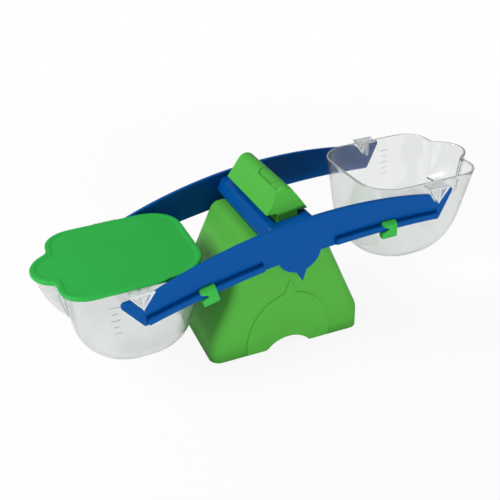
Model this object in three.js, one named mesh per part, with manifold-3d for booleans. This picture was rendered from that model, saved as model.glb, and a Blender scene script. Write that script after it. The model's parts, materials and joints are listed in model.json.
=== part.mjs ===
// Classroom bucket balance: a hollow base, a two-bar beam that tilts on an axle in the base's tower,
// two hanging buckets, a bucket lid and two zero-setting sliders.
// Millimetres. The origin is on the floor under the middle of the base, +X runs along the beam to its
// raised end, +Y runs to the rear bar and +Z is up.

import * as THREE from 'three';
import { mergeVertices } from 'three/addons/utils/BufferGeometryUtils.js';
import Module from 'manifold-3d';

const wasm = await Module();
wasm.setup();

// Clearances
const SEAT_GAP = 0.3;
const AXLE_PLAY = 0.25;
const RAIL_PLAY = 0.3;
const SLIT = 0.8;

// Base
const BASE_HALF_LENGTH = 71;
const BASE_HALF_DEPTH = 50.5;
const BASE_TOP = 103.7;
const BASE_SHOULDER_HALF = 31.6;
const BASE_SHOULDER_RADIUS = 11;
const SKIRT_HEIGHT = 21;
const SKIRT_TAPER = 1;
const SKIRT_RADIUS = 14;
const BASE_EDGE_RADIUS = 9;
const BASE_WALL = 2.4;
const ARCH_HALF_WIDTH = 20.5;
const ARCH_HEIGHT = 10;
const PANEL_RADIUS = 39;
const PANEL_CENTRE_HEIGHT = 12;
const INDEX_HALF_WIDTH = 7.3;
const INDEX_GAP = 1.2;
const PANEL_RAISE = 0.8;

// Tower, bearings and axle
const PIVOT_RISE = 13.8;
const TOWER_HALF_WIDTH = 7.5;
const TOWER_HALF_LENGTH = 39.2;
const TOWER_RISE = 12.5;
const TOWER_WALL = 2;
const BEARING_HALF_WIDTH = 4.6;
const BEARING_DROP = 6;
const BEARING_RISE = 5;
const BEARING_LENGTH = 4;
const AXLE_RADIUS = 2.5;

// Cap
const CAP_SKIRT = 4;
const CAP_RISE = 21.6;
const CAP_HALF_WIDTH = 17.9;
const CAP_RIDGE_RADIUS = 8.5;
const CAP_WALL = 2;
const CAP_HIP_LEAN = 9;
const CAP_REAR_RADIUS = 6;
const CAP_RIB_INSET = 5.5;
const CAP_RIB_THICKNESS = 2;
const TAB_HALF_WIDTH = 9;
const TAB_THICKNESS = 1.7;
const TAB_DROP = 14;
const LATCH_HALF_WIDTH = 5.2;
const LATCH_ROOT_INSET = 18;
const LATCH_LENGTH = 28;

// Beam: distances along the bars and heights are from the pivot
const TILT = 8.2;
const LUG_REACH = 130;
const LUG_DROP = 20;
const BAR_INNER_FACE = 56.7;
const BAR_THICKNESS = 3.5;
const BAR_TOP = 8.3;
const BAR_TOP_RADIUS = 427;
const BAR_BOTTOM = 24;
const BAR_BOTTOM_RADIUS = 773;
const BOSS_DROP = 18;
const BOSS_RADIUS = 19.8;
const POINTER_HALF_WIDTH = 4.5;
const POINTER_LENGTH = 10;
const NOTCH_INNER_REACH = 11.8;
const NOTCH_CORNER_RADIUS = 2;
const HORN_REACH = 12.6;
const HORN_RADIUS = 3;
const HORN_WIDTH = 3.6;
const HORN_SLOPE = 4;
const BAR_FOOT_REACH = 2;
const RAIL_DROP = 22.6;
const RAIL_HEIGHT = 5.4;
const RAIL_DEPTH = 3.8;
const RAIL_START = 32;
const RAIL_END = 129;
const GROOVE_HEIGHT = 2.4;
const GROOVE_DEPTH = 1.2;

// Bridge
const BRIDGE_TOP = 4;
const BRIDGE_TOP_HALF = 18;
const BRIDGE_HALF_WIDTH = 24;
const BRIDGE_WAIST_DROP = 5;
const BRIDGE_FOOT_HALF = 22.5;
const BRIDGE_WALL = 2.5;
const BRIDGE_END_WALL = 3;
const WINDOW_PLAY = 2.6;
const SCREW_SPREAD = 13;
const SCREW_DROP = 3;
const SCREW_RADIUS = 1.35;
const SCREW_HEAD_RADIUS = 2.8;
const SCREW_HEAD_HEIGHT = 2;
const SCREW_BITE = 2.1;
const SCREW_PLAY = 0.25;

// Buckets: distances are from the hanging axis
const HANG_TILT = 1.8;
const RIM_RISE = 16.4;
const BUCKET_DEPTH = 80;
const BUCKET_INNER_REACH = 55.8;
const BUCKET_OUTER_REACH = 52.8;
const BUCKET_HALF_WIDTH = 52.2;
const BUCKET_INNER_CORNER = 27.5;
const BUCKET_OUTER_CORNER = 18.8;
const BUCKET_CORNER_GROWTH = 0.35;
const BUCKET_WALL = 1.6;
const BUCKET_DRAFT = 1.5;
const BUCKET_LEAN = 3;
const BUCKET_BOTTOM_HEIGHT = 40;
const BUCKET_BOTTOM_REACH = 21;
const SPOUT_HALF_WIDTH = 20.3;
const SPOUT_REACH = 16.6;
const SPOUT_DEPTH = 36;
const SPOUT_SQUARENESS = 1.75;
const LUG_PLATE_HALF = 8.8;
const LUG_PLATE_BOTTOM = 13.4;
const LUG_PLATE_THICKNESS = 1.5;
const LUG_RIB_HALF = 1.1;
const LUG_EDGE_ANGLE = 30;
const FLANGE_HALF = 10.2;
const FLANGE_FOOT = 1.2;
const FLANGE_THICKNESS = 1.6;
const FLANGE_GAP = 1;

// Bucket lid
const LID_TOP_THICKNESS = 1.4;
const LID_BEAD_HEIGHT = 0.7;
const LID_BEAD_WIDTH = 4;
const LID_SKIRT_WALL = 2;
const LID_SKIRT_DROP = 1;
const LID_FIT = 0.4;
const LID_PLUG_WALL = 1.5;
const LID_PLUG_DEPTH = 4;

// Sliders
const LEFT_SLIDER_PLACE = 78.5;
const RIGHT_SLIDER_PLACE = 81;
const SLIDER_LENGTH = 16;
const SLIDER_NOSE = 3;
const SLIDER_JAW = 5;
const SLIDER_TOOTH = 0.5;
const SLIDER_NOTCH_REACH = 9.5;

// Facets
const ROUND_SIDES = 24;
const CORNER_STEPS = 4;
const ARC_STEPS = 16;

const blue = new THREE.MeshStandardMaterial({ color: 0x0054a0, roughness: 0.35, metalness: 0 });
const green = new THREE.MeshStandardMaterial({ color: 0x5aaf46, roughness: 0.4, metalness: 0 });
const brightGreen = new THREE.MeshStandardMaterial({ color: 0x2fb34a, roughness: 0.4, metalness: 0 });
const white = new THREE.MeshStandardMaterial({ color: 0xe9e9e4, roughness: 0.5, metalness: 0 });
const steel = new THREE.MeshStandardMaterial({ color: 0xb9bcc0, roughness: 0.3, metalness: 1 });
const clear = new THREE.MeshStandardMaterial({
  color: 0xf2f5f7, roughness: 0.1, metalness: 0, transparent: true, opacity: 0.3,
});

const tilt = THREE.MathUtils.degToRad(TILT);
const draft = Math.tan(THREE.MathUtils.degToRad(BUCKET_DRAFT));
const lean = Math.tan(THREE.MathUtils.degToRad(BUCKET_LEAN));
const barOuterFace = BAR_INNER_FACE + BAR_THICKNESS;
const flangeInner = barOuterFace + FLANGE_GAP;
const flangeOuter = flangeInner + FLANGE_THICKNESS;
const pointerDrop = BOSS_DROP + BOSS_RADIUS + POINTER_LENGTH;
const bridgeHalfLength = BAR_INNER_FACE - SEAT_GAP;
const pivotHeight = BASE_TOP + PIVOT_RISE;
const towerTop = pivotHeight + TOWER_RISE;
const capSeat = towerTop + SEAT_GAP;
const capBottom = capSeat - CAP_SKIRT;
const capPeak = capSeat + CAP_RISE;
const capHalfLength = TOWER_HALF_LENGTH + SEAT_GAP + CAP_WALL;

// Closed geometry to a solid for joining and cutting, and back
function solid(geometry) {
  const bare = geometry.clone();
  bare.deleteAttribute('normal');
  bare.deleteAttribute('uv');
  const welded = mergeVertices(bare, 1e-4);
  return new wasm.Manifold(new wasm.Mesh({
    numProp: 3,
    vertProperties: new Float32Array(welded.attributes.position.array),
    triVerts: new Uint32Array(welded.index.array),
  }));
}

function geometryOf(body) {
  const mesh = body.getMesh();
  const geometry = new THREE.BufferGeometry();
  geometry.setAttribute('position', new THREE.BufferAttribute(mesh.vertProperties, 3));
  geometry.setIndex(new THREE.BufferAttribute(mesh.triVerts, 1));
  geometry.computeVertexNormals();
  return geometry;
}

// An outline from corners [x, y, radius], each rounded by its radius
function rounded(corners, steps = CORNER_STEPS) {
  const points = [];
  const count = corners.length;
  corners.forEach(([x, y, radius = 0], i) => {
    const here = new THREE.Vector2(x, y);
    if (radius === 0) {
      points.push(here);
      return;
    }
    const before = new THREE.Vector2(...corners[(i + count - 1) % count]).sub(here).normalize();
    const after = new THREE.Vector2(...corners[(i + 1) % count]).sub(here).normalize();
    const halfAngle = Math.acos(before.dot(after)) / 2;
    const centre = before.clone().add(after).setLength(radius / Math.sin(halfAngle)).add(here);
    const from = before.clone().multiplyScalar(radius / Math.tan(halfAngle)).add(here).sub(centre);
    const to = after.clone().multiplyScalar(radius / Math.tan(halfAngle)).add(here).sub(centre);
    const sweep = Math.atan2(from.cross(to), from.dot(to));
    for (let step = 0; step <= steps; step += 1) {
      points.push(from.clone().rotateAround(new THREE.Vector2(), (sweep * step) / steps).add(centre));
    }
  });
  return points;
}

// The right half of an outline, from bottom to top, with its mirror image on the left
function mirrored(right) {
  const left = right.filter(([x]) => x > 0).map(([x, ...rest]) => [-x, ...rest]).reverse();
  return [...right, ...left];
}

function extruded(points, depth) {
  return new THREE.ExtrudeGeometry(new THREE.Shape(points), { depth, bevelEnabled: false });
}

// Prisms: an outline in X and Z extruded along Y, in Y and Z along X, or in X and Y along Z
function prismY(points, from, to) {
  const geometry = extruded(points, to - from);
  return geometry.rotateX(Math.PI / 2).translate(0, to, 0);
}

function prismX(points, from, to) {
  const geometry = extruded(points, to - from);
  const turn = new THREE.Matrix4().makeBasis(
    new THREE.Vector3(0, 1, 0),
    new THREE.Vector3(0, 0, 1),
    new THREE.Vector3(1, 0, 0),
  );
  return geometry.applyMatrix4(turn).translate(from, 0, 0);
}

function prismZ(points, from, to) {
  const geometry = extruded(points, to - from);
  return geometry.translate(0, 0, from);
}

function box(x0, x1, y0, y1, z0, z1) {
  const geometry = new THREE.BoxGeometry(x1 - x0, y1 - y0, z1 - z0);
  return solid(geometry.translate((x0 + x1) / 2, (y0 + y1) / 2, (z0 + z1) / 2));
}

function rodY(radius, from, to, sides = ROUND_SIDES) {
  const geometry = new THREE.CylinderGeometry(radius, radius, to - from, sides);
  return geometry.translate(0, (from + to) / 2, 0);
}

// A skin over rings of equal count, each anticlockwise from above, closed by a fan at both ends
function loft(rings) {
  const size = rings[0].length;
  const positions = rings.flat().flatMap((point) => point.toArray());
  const triangles = [];
  for (let ring = 0; ring < rings.length - 1; ring += 1) {
    for (let i = 0; i < size; i += 1) {
      const next = (i + 1) % size;
      const a = ring * size + i;
      const b = ring * size + next;
      triangles.push(a, b, b + size, a, b + size, a + size);
    }
  }
  const fan = (ring, flip) => {
    const middle = new THREE.Vector3();
    rings[ring].forEach((point) => middle.addScaledVector(point, 1 / size));
    const centre = positions.length / 3;
    positions.push(...middle.toArray());
    for (let i = 0; i < size; i += 1) {
      const a = ring * size + i;
      const b = ring * size + ((i + 1) % size);
      triangles.push(centre, flip ? b : a, flip ? a : b);
    }
  };
  fan(0, true);
  fan(rings.length - 1, false);
  const geometry = new THREE.BufferGeometry();
  geometry.setAttribute('position', new THREE.Float32BufferAttribute(positions, 3));
  geometry.setIndex(triangles);
  geometry.computeVertexNormals();
  return geometry;
}

function piece(name, geometry, material, parent) {
  const mesh = new THREE.Mesh(geometry, material);
  mesh.name = name;
  parent.add(mesh);
  return mesh;
}

// Base shell: an A-shaped block with large rounded edges, hollowed by the same block set in by the wall
function baseBlock(inset) {
  const below = -BASE_EDGE_RADIUS * 2;
  const skirtHalf = BASE_HALF_LENGTH - SKIRT_TAPER;
  const outline = rounded(mirrored([
    [BASE_HALF_LENGTH - inset, below],
    [skirtHalf - inset, SKIRT_HEIGHT, SKIRT_RADIUS],
    [BASE_SHOULDER_HALF - inset, BASE_TOP - inset, BASE_SHOULDER_RADIUS - inset],
  ]));
  const radius = BASE_EDGE_RADIUS - inset;
  const straight = 2 * (BASE_HALF_DEPTH - BASE_EDGE_RADIUS);
  const geometry = new THREE.ExtrudeGeometry(new THREE.Shape(outline), {
    depth: straight,
    bevelThickness: radius,
    bevelSize: radius,
    bevelOffset: -radius,
    bevelSegments: CORNER_STEPS,
  });
  return solid(geometry.rotateX(Math.PI / 2).translate(0, straight / 2, 0));
}

// Raised panel on the front: a disc that ends in an index for the beam's pointer
function indexPanel() {
  const shoulder = Math.acos(INDEX_HALF_WIDTH / PANEL_RADIUS);
  const right = [[PANEL_RADIUS, 0]];
  for (let step = 0; step <= ARC_STEPS / 2; step += 1) {
    const angle = (shoulder * step) / (ARC_STEPS / 2);
    right.push([
      PANEL_RADIUS * Math.cos(angle),
      PANEL_CENTRE_HEIGHT + PANEL_RADIUS * Math.sin(angle),
    ]);
  }
  right.push([0, pivotHeight - pointerDrop - INDEX_GAP]);
  const face = -BASE_HALF_DEPTH;
  return solid(prismY(rounded(mirrored(right)), face - PANEL_RAISE, face + BASE_WALL / 2));
}

function archCut() {
  const radius = (ARCH_HALF_WIDTH ** 2 + ARCH_HEIGHT ** 2) / (2 * ARCH_HEIGHT);
  const reach = BASE_HALF_DEPTH + PANEL_RAISE + BASE_WALL;
  return solid(rodY(radius, -reach, reach, 2 * ROUND_SIDES).translate(0, 0, ARCH_HEIGHT - radius));
}

function baseShell() {
  const innerHalf = TOWER_HALF_WIDTH - TOWER_WALL;
  const innerLength = TOWER_HALF_LENGTH - TOWER_WALL;
  const slotHalf = BEARING_HALF_WIDTH + SEAT_GAP;
  const slotBottom = pivotHeight - BEARING_DROP - SEAT_GAP;
  const below = BASE_EDGE_RADIUS * 3;
  const wide = BASE_HALF_LENGTH * 2;
  return baseBlock(0)
    .add(box(-TOWER_HALF_WIDTH, TOWER_HALF_WIDTH, -TOWER_HALF_LENGTH, TOWER_HALF_LENGTH,
      BASE_TOP - BASE_WALL, towerTop))
    .add(indexPanel())
    .subtract(baseBlock(BASE_WALL))
    .subtract(box(-innerHalf, innerHalf, -innerLength, innerLength,
      BASE_TOP - 2 * BASE_WALL, towerTop + SEAT_GAP))
    .subtract(box(-slotHalf, slotHalf, -wide, wide, slotBottom, towerTop + SEAT_GAP))
    .subtract(archCut())
    .subtract(box(-wide, wide, -wide, wide, -below, 0));
}

// Bearing: a block with an open-topped cradle for the axle, in the slot of the tower's end wall
function bearing(side) {
  const cradle = AXLE_RADIUS + AXLE_PLAY;
  const inner = TOWER_HALF_LENGTH - BEARING_LENGTH;
  const [from, to] = [side * inner, side * TOWER_HALF_LENGTH].sort((a, b) => a - b);
  return box(-BEARING_HALF_WIDTH, BEARING_HALF_WIDTH, from, to, -BEARING_DROP, BEARING_RISE)
    .subtract(solid(rodY(cradle, from - 1, to + 1)))
    .subtract(box(-cradle, cradle, from - 1, to + 1, 0, BEARING_RISE + 1));
}

// Cap: a roof that is the overlap of its end outline and its side outline
function capBlock(inset, bottom) {
  const slope = Math.atan2(CAP_HALF_WIDTH, capPeak - capBottom);
  const peak = capPeak - inset / Math.sin(slope);
  const halfAt = (height) => (peak - height) * Math.tan(slope);
  const ends = rounded([
    [-halfAt(bottom), bottom],
    [halfAt(bottom), bottom],
    [0, peak, CAP_RIDGE_RADIUS - inset],
  ], 3 * CORNER_STEPS);
  const half = capHalfLength - inset;
  const sides = rounded([
    [-half, bottom],
    [half, bottom],
    [half, capPeak, CAP_REAR_RADIUS],
    [-half + CAP_HIP_LEAN, capPeak],
    [-half, capSeat],
  ]);
  return solid(prismY(ends, -capHalfLength, capHalfLength))
    .intersect(solid(prismX(sides, -CAP_HALF_WIDTH, CAP_HALF_WIDTH)));
}

function latchPlan(margin) {
  const half = LATCH_HALF_WIDTH + margin;
  const root = -capHalfLength + LATCH_ROOT_INSET - (margin > 0 ? SEAT_GAP : 0);
  const tip = -capHalfLength + LATCH_ROOT_INSET + LATCH_LENGTH + margin;
  const outline = rounded([[-half, root], [half, root], [half, tip, half * 0.95], [-half, tip, half * 0.95]]);
  return solid(prismZ(outline, towerTop, capPeak));
}

function capShell() {
  const inside = capBottom - CAP_WALL;
  return capBlock(0, capBottom).subtract(capBlock(CAP_WALL, inside));
}

function topCap() {
  const block = capBlock(0, capBottom);
  const tabInner = TOWER_HALF_LENGTH + SEAT_GAP;
  const forkHalf = AXLE_RADIUS + 2 * AXLE_PLAY;
  const tabBottom = capBottom - TAB_DROP;
  let cap = capShell();
  [-1, 1].forEach((side) => {
    const ribAt = side * (capHalfLength - CAP_RIB_INSET);
    const ribHalf = CAP_RIB_THICKNESS / 2;
    const rib = box(-CAP_HALF_WIDTH, CAP_HALF_WIDTH, ribAt - ribHalf, ribAt + ribHalf, capSeat, capPeak);
    const [from, to] = [side * tabInner, side * (tabInner + TAB_THICKNESS)].sort((a, b) => a - b);
    const fork = box(-forkHalf, forkHalf, from - 1, to + 1, tabBottom - 1, pivotHeight)
      .add(solid(rodY(forkHalf, from - 1, to + 1).translate(0, 0, pivotHeight)));
    const tab = box(-TAB_HALF_WIDTH, TAB_HALF_WIDTH, from, to, tabBottom, capBottom + CAP_WALL);
    cap = cap.add(rib.intersect(block)).add(tab.subtract(fork));
  });
  return cap.subtract(latchPlan(SLIT));
}

// Bar edges: heights of the top and bottom arcs and of the rail's arcs at a distance along the bar
const barTopAt = (x) => BAR_TOP - BAR_TOP_RADIUS + Math.sqrt(BAR_TOP_RADIUS ** 2 - x ** 2);
const barBottomAt = (x) => -BAR_BOTTOM - BAR_BOTTOM_RADIUS + Math.sqrt(BAR_BOTTOM_RADIUS ** 2 - x ** 2);
const railCentre = -RAIL_DROP - BAR_BOTTOM_RADIUS;
const railAt = (x, height) => railCentre + Math.sqrt((BAR_BOTTOM_RADIUS + height) ** 2 - x ** 2);

function steps(from, to, count, place) {
  const points = [];
  for (let step = 0; step <= count; step += 1) {
    points.push(place(from + ((to - from) * step) / count));
  }
  return points;
}

// Half the bar's outline, from the pointer's tip along the bottom, round the notched end and back on top
function barOutline() {
  const pointerRoot = Math.asin(POINTER_HALF_WIDTH / BOSS_RADIUS);
  const bossEnd = Math.acos((BAR_BOTTOM - BOSS_DROP) / BOSS_RADIUS);
  const boss = steps(pointerRoot, bossEnd, ARC_STEPS / 2, (angle) => [
    BOSS_RADIUS * Math.sin(angle),
    -BOSS_DROP - BOSS_RADIUS * Math.cos(angle),
  ]);
  const foot = LUG_REACH + BAR_FOOT_REACH;
  const bossReach = BOSS_RADIUS * Math.sin(bossEnd);
  const bottom = steps(bossReach, foot, ARC_STEPS, (x) => [x, barBottomAt(x)]).slice(1, -1);
  const notchCorner = LUG_REACH - NOTCH_INNER_REACH;
  const hornTop = -LUG_DROP + HORN_REACH;
  const top = steps(notchCorner, 0, ARC_STEPS, (x) => [x, barTopAt(x)]).slice(1);
  return mirrored([
    [0, -pointerDrop],
    ...boss,
    ...bottom,
    [foot, barBottomAt(foot), NOTCH_CORNER_RADIUS],
    [LUG_REACH + HORN_REACH + HORN_WIDTH, hornTop - HORN_SLOPE, HORN_RADIUS],
    [LUG_REACH + HORN_REACH, hornTop, HORN_RADIUS / 2],
    [LUG_REACH, -LUG_DROP],
    [notchCorner, barTopAt(notchCorner), NOTCH_CORNER_RADIUS],
    ...top,
  ]);
}

function railBand(side, low, high, from, to) {
  const lower = steps(RAIL_START, RAIL_END, ARC_STEPS, (x) => new THREE.Vector2(side * x, railAt(x, low)));
  const upper = steps(RAIL_END, RAIL_START, ARC_STEPS, (x) => new THREE.Vector2(side * x, railAt(x, high)));
  return solid(prismY([...lower, ...upper], from, to));
}

// The front bar. The rear bar is the same piece turned round.
function bar() {
  let body = solid(prismY(rounded(barOutline()), -barOuterFace, -BAR_INNER_FACE));
  [-1, 1].forEach((side) => {
    const railFace = -barOuterFace - RAIL_DEPTH;
    const grooveTop = RAIL_HEIGHT + GROOVE_HEIGHT;
    const screwEnd = BAR_INNER_FACE + SCREW_BITE + SEAT_GAP;
    const screwHole = rodY(SCREW_RADIUS + SCREW_PLAY, -screwEnd, -BAR_INNER_FACE + 1);
    body = body
      .add(railBand(side, 0, RAIL_HEIGHT, railFace, -BAR_INNER_FACE - BAR_THICKNESS / 2))
      .subtract(railBand(side, RAIL_HEIGHT, grooveTop, railFace, -barOuterFace + GROOVE_DEPTH))
      .subtract(solid(screwHole.translate(side * SCREW_SPREAD, 0, -SCREW_DROP)));
  });
  return body;
}

// Bridge: a saddle whose feet stop the tilt on the base's top, with a window for the tower
const bridgeFoot = (BASE_TOP + SEAT_GAP - pivotHeight + BRIDGE_FOOT_HALF * Math.sin(tilt)) / Math.cos(tilt);

function bridgeOutline(inset, foot) {
  return rounded(mirrored([
    [BRIDGE_FOOT_HALF - inset, foot],
    [BRIDGE_HALF_WIDTH - inset, -BRIDGE_WAIST_DROP, BRIDGE_HALF_WIDTH / 4],
    [BRIDGE_TOP_HALF - inset, BRIDGE_TOP - inset, BRIDGE_WALL + 1],
  ]));
}

function bridge() {
  const cavityHalfLength = bridgeHalfLength - BRIDGE_END_WALL;
  const windowHalf = TAB_HALF_WIDTH / Math.cos(tilt) + BRIDGE_TOP * Math.tan(tilt) + WINDOW_PLAY / 2;
  const windowLength = capHalfLength + WINDOW_PLAY;
  let body = solid(prismY(bridgeOutline(0, bridgeFoot), -bridgeHalfLength, bridgeHalfLength))
    .subtract(solid(prismY(bridgeOutline(BRIDGE_WALL, bridgeFoot - 1), -cavityHalfLength, cavityHalfLength)))
    .subtract(box(-windowHalf, windowHalf, -windowLength, windowLength, bridgeFoot, BRIDGE_TOP + 1))
    .subtract(solid(rodY(AXLE_RADIUS + AXLE_PLAY, -BAR_INNER_FACE, BAR_INNER_FACE)));
  [-1, 1].forEach((side) => {
    const hole = rodY(SCREW_RADIUS + SCREW_PLAY, -BAR_INNER_FACE, BAR_INNER_FACE);
    body = body.subtract(solid(hole.translate(side * SCREW_SPREAD, 0, -SCREW_DROP)));
  });
  return body;
}

// Screw: a round head inside the bridge's end wall and a shank that bites into the bar
function screw() {
  const seat = bridgeHalfLength - BRIDGE_END_WALL - SEAT_GAP;
  const tip = BAR_INNER_FACE + SCREW_BITE;
  return solid(rodY(SCREW_HEAD_RADIUS, seat - SCREW_HEAD_HEIGHT, seat, ROUND_SIDES / 2))
    .add(solid(rodY(SCREW_RADIUS, seat - SCREW_HEAD_HEIGHT / 2, tip, ROUND_SIDES / 2)));
}

// Bucket outline at an inset from the rim: inner end at -X, sides, outer end with the spout's lobe at +X
function bucketRing(inset, spout, height) {
  const halfWidth = BUCKET_HALF_WIDTH - inset;
  const inner = BUCKET_INNER_REACH - inset;
  const depth = Math.max(0, RIM_RISE - height);
  const outer = BUCKET_OUTER_REACH - inset - depth * lean;
  const growth = BUCKET_CORNER_GROWTH * depth - inset;
  const largest = 0.9 * Math.min(halfWidth, (inner + outer) / 2);
  const innerCorner = Math.min(BUCKET_INNER_CORNER + growth, largest);
  const outerCorner = Math.min(BUCKET_OUTER_CORNER + growth, largest);
  const flat = halfWidth - outerCorner;
  const lobe = Math.min(Math.max(SPOUT_HALF_WIDTH - inset, flat / 2), 0.9 * flat);
  const power = 2 / SPOUT_SQUARENESS;
  const half = steps(0, Math.PI / 2, ARC_STEPS / 2, (angle) => new THREE.Vector2(
    outer + spout * Math.max(0, Math.cos(angle)) ** power,
    lobe * Math.sin(angle) ** power,
  ));
  const corners = rounded([
    [outer, 0],
    [outer, halfWidth, outerCorner],
    [-inner, halfWidth, innerCorner],
    [-inner, 0],
  ], CORNER_STEPS + 1).slice(1, -1);
  half.push(...corners);
  const lower = half.slice(1).reverse().map((point) => new THREE.Vector2(point.x, -point.y));
  return [...half, ...lower].map((point) => new THREE.Vector3(point.x, point.y, height));
}

// The bucket's body as rings from its bottom up to the rim, for the outside or for the inside
function bucketBlock(skin, above) {
  const bottomHeight = BUCKET_BOTTOM_HEIGHT - skin;
  const bottomReach = BUCKET_BOTTOM_REACH - skin;
  const wallDepth = BUCKET_DEPTH - BUCKET_BOTTOM_HEIGHT;
  const rings = steps(Math.PI / 2, 0, CORNER_STEPS + 2, (angle) => bucketRing(
    skin + wallDepth * draft + bottomReach * (1 - Math.cos(angle)),
    0,
    RIM_RISE - wallDepth - bottomHeight * Math.sin(angle),
  ));
  const spoutTurns = 5;
  for (let turn = 0; turn <= spoutTurns; turn += 1) {
    const angle = (Math.PI / 2) * (turn / spoutTurns);
    const down = SPOUT_DEPTH * Math.cos(angle);
    const rise = turn === spoutTurns ? above : 0;
    rings.push(bucketRing(skin + down * draft, SPOUT_REACH * Math.sin(angle), RIM_RISE - down + rise));
  }
  return solid(loft(rings));
}

// Lug: a blade that hangs in the notch, a plate over it and a flange outside the bar
function lug(side) {
  const start = BUCKET_HALF_WIDTH - BUCKET_DEPTH * 0.1;
  const span = [side * start, side * flangeOuter].sort((a, b) => a - b);
  const flange = [side * flangeInner, side * flangeOuter].sort((a, b) => a - b);
  const plateTop = LUG_PLATE_BOTTOM + LUG_PLATE_THICKNESS;
  const edge = LUG_RIB_HALF / Math.tan(THREE.MathUtils.degToRad(LUG_EDGE_ANGLE));
  const blade = prismY(rounded(mirrored([
    [0, SEAT_GAP],
    [LUG_RIB_HALF, SEAT_GAP + edge],
    [LUG_RIB_HALF, plateTop - LUG_PLATE_THICKNESS / 2],
  ])), ...span);
  const triangle = prismY(rounded(mirrored([
    [0, FLANGE_FOOT],
    [FLANGE_HALF, plateTop],
  ])), ...flange);
  return box(-LUG_PLATE_HALF, LUG_PLATE_HALF, ...span, LUG_PLATE_BOTTOM, plateTop)
    .add(solid(blade))
    .add(solid(triangle));
}

function bucket() {
  return bucketBlock(0, 0).add(lug(1)).add(lug(-1)).subtract(bucketBlock(BUCKET_WALL, 1));
}

// Lid: one skin from the middle of its underside, round the plug, the rim and the bead, to its top
function bucketLid() {
  const underside = RIM_RISE + SEAT_GAP;
  const top = underside + LID_TOP_THICKNESS;
  const plugOuter = BUCKET_WALL + LID_FIT;
  const plugInner = plugOuter + LID_PLUG_WALL;
  const plugBottom = underside - LID_PLUG_DEPTH;
  const plugDraft = LID_PLUG_DEPTH * draft;
  const plugSpout = SPOUT_REACH - LID_FIT;
  const skirtOuter = -LID_FIT - LID_SKIRT_WALL;
  const skirtBottom = RIM_RISE - LID_SKIRT_DROP;
  const bead = top + LID_BEAD_HEIGHT;
  const section = [
    [plugInner + plugDraft + LID_PLUG_WALL, underside, plugSpout],
    [plugInner + plugDraft, plugBottom, plugSpout],
    [plugOuter + plugDraft, plugBottom, plugSpout],
    [plugOuter, underside, plugSpout],
    [-LID_FIT, underside, SPOUT_REACH],
    [-LID_FIT, skirtBottom, SPOUT_REACH],
    [skirtOuter, skirtBottom, SPOUT_REACH],
    [skirtOuter, bead - LID_BEAD_HEIGHT, SPOUT_REACH],
    [skirtOuter + LID_BEAD_HEIGHT, bead, SPOUT_REACH],
    [skirtOuter + LID_BEAD_WIDTH, bead, SPOUT_REACH],
    [skirtOuter + LID_BEAD_WIDTH + LID_BEAD_HEIGHT, top, SPOUT_REACH],
  ];
  return loft(section.map(([inset, height, spout]) => bucketRing(inset, spout, height)));
}

// Slider: a clip round the rail's bead, in the frame of the rail's lower edge, with a V cut into its front
function slider() {
  const over = RAIL_HEIGHT + RAIL_PLAY;
  const front = RAIL_DEPTH + RAIL_PLAY;
  const toothTop = RAIL_HEIGHT + GROOVE_HEIGHT - RAIL_PLAY;
  const toothTip = RAIL_PLAY - GROOVE_DEPTH;
  const outline = [
    [-toothTip, over],
    [-toothTip, toothTop],
    [-RAIL_PLAY, toothTop],
    [-RAIL_PLAY, toothTop + SLIDER_TOOTH],
    [-RAIL_DEPTH, toothTop + SLIDER_TOOTH / 2],
    [-front - SLIDER_NOSE, over - SLIDER_NOSE],
    [-front - SLIDER_NOSE, -RAIL_PLAY],
    [-front - SLIDER_NOSE / 2, -RAIL_PLAY - SLIDER_JAW],
    [-RAIL_PLAY, -RAIL_PLAY - SLIDER_JAW * 0.75],
    [-RAIL_PLAY, -RAIL_PLAY],
    [-front, -RAIL_PLAY],
    [-front, over],
  ];
  const half = SLIDER_LENGTH / 2;
  const middle = RAIL_HEIGHT / 2;
  const notch = [[-half, -middle], [SLIDER_NOTCH_REACH - half, 0], [-half, middle], [-half - 1, 0]];
  const cut = notch.map(([x, z]) => new THREE.Vector2(x, z + middle));
  return solid(prismX(outline.map(([y, z]) => new THREE.Vector2(y, z)), -half, half))
    .subtract(solid(prismY(cut, -front - 2 * SLIDER_NOSE, -RAIL_DEPTH)));
}

// The balance, at rest with the lidded bucket down
const balance = new THREE.Group();

piece('base_shell', geometryOf(baseShell()), green, balance);
[['front_bearing', -1], ['rear_bearing', 1]].forEach(([name, side]) => {
  piece(name, geometryOf(bearing(side)), white, balance).position.z = pivotHeight;
});
piece('top_cap', geometryOf(topCap()), green, balance);
piece('cap_latch', geometryOf(capShell().intersect(latchPlan(0))), green, balance);

const beam = new THREE.Group();
beam.position.z = pivotHeight;
beam.rotation.y = -tilt;
balance.add(beam);

piece('pivot_axle', rodY(AXLE_RADIUS, -bridgeHalfLength, bridgeHalfLength), steel, beam);
piece('beam_bridge', geometryOf(bridge()), blue, beam);
piece('front_bar', geometryOf(bar()), blue, beam);
piece('rear_bar', geometryOf(bar()), blue, beam).rotation.z = Math.PI;
[['front', Math.PI], ['rear', 0]].forEach(([end, turn]) => {
  [['left', -1], ['right', 1]].forEach(([name, side]) => {
    const mesh = piece(`${end}_${name}_screw`, geometryOf(screw()), steel, beam);
    mesh.rotation.z = turn;
    mesh.position.set(side * SCREW_SPREAD, 0, -SCREW_DROP);
  });
});
[['left_slider', -LEFT_SLIDER_PLACE], ['right_slider', RIGHT_SLIDER_PLACE]].forEach(([name, place]) => {
  const mesh = piece(name, geometryOf(slider()), brightGreen, beam);
  mesh.position.set(place, -barOuterFace, railAt(place, 0));
  mesh.rotation.y = Math.asin(place / BAR_BOTTOM_RADIUS);
});

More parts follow.
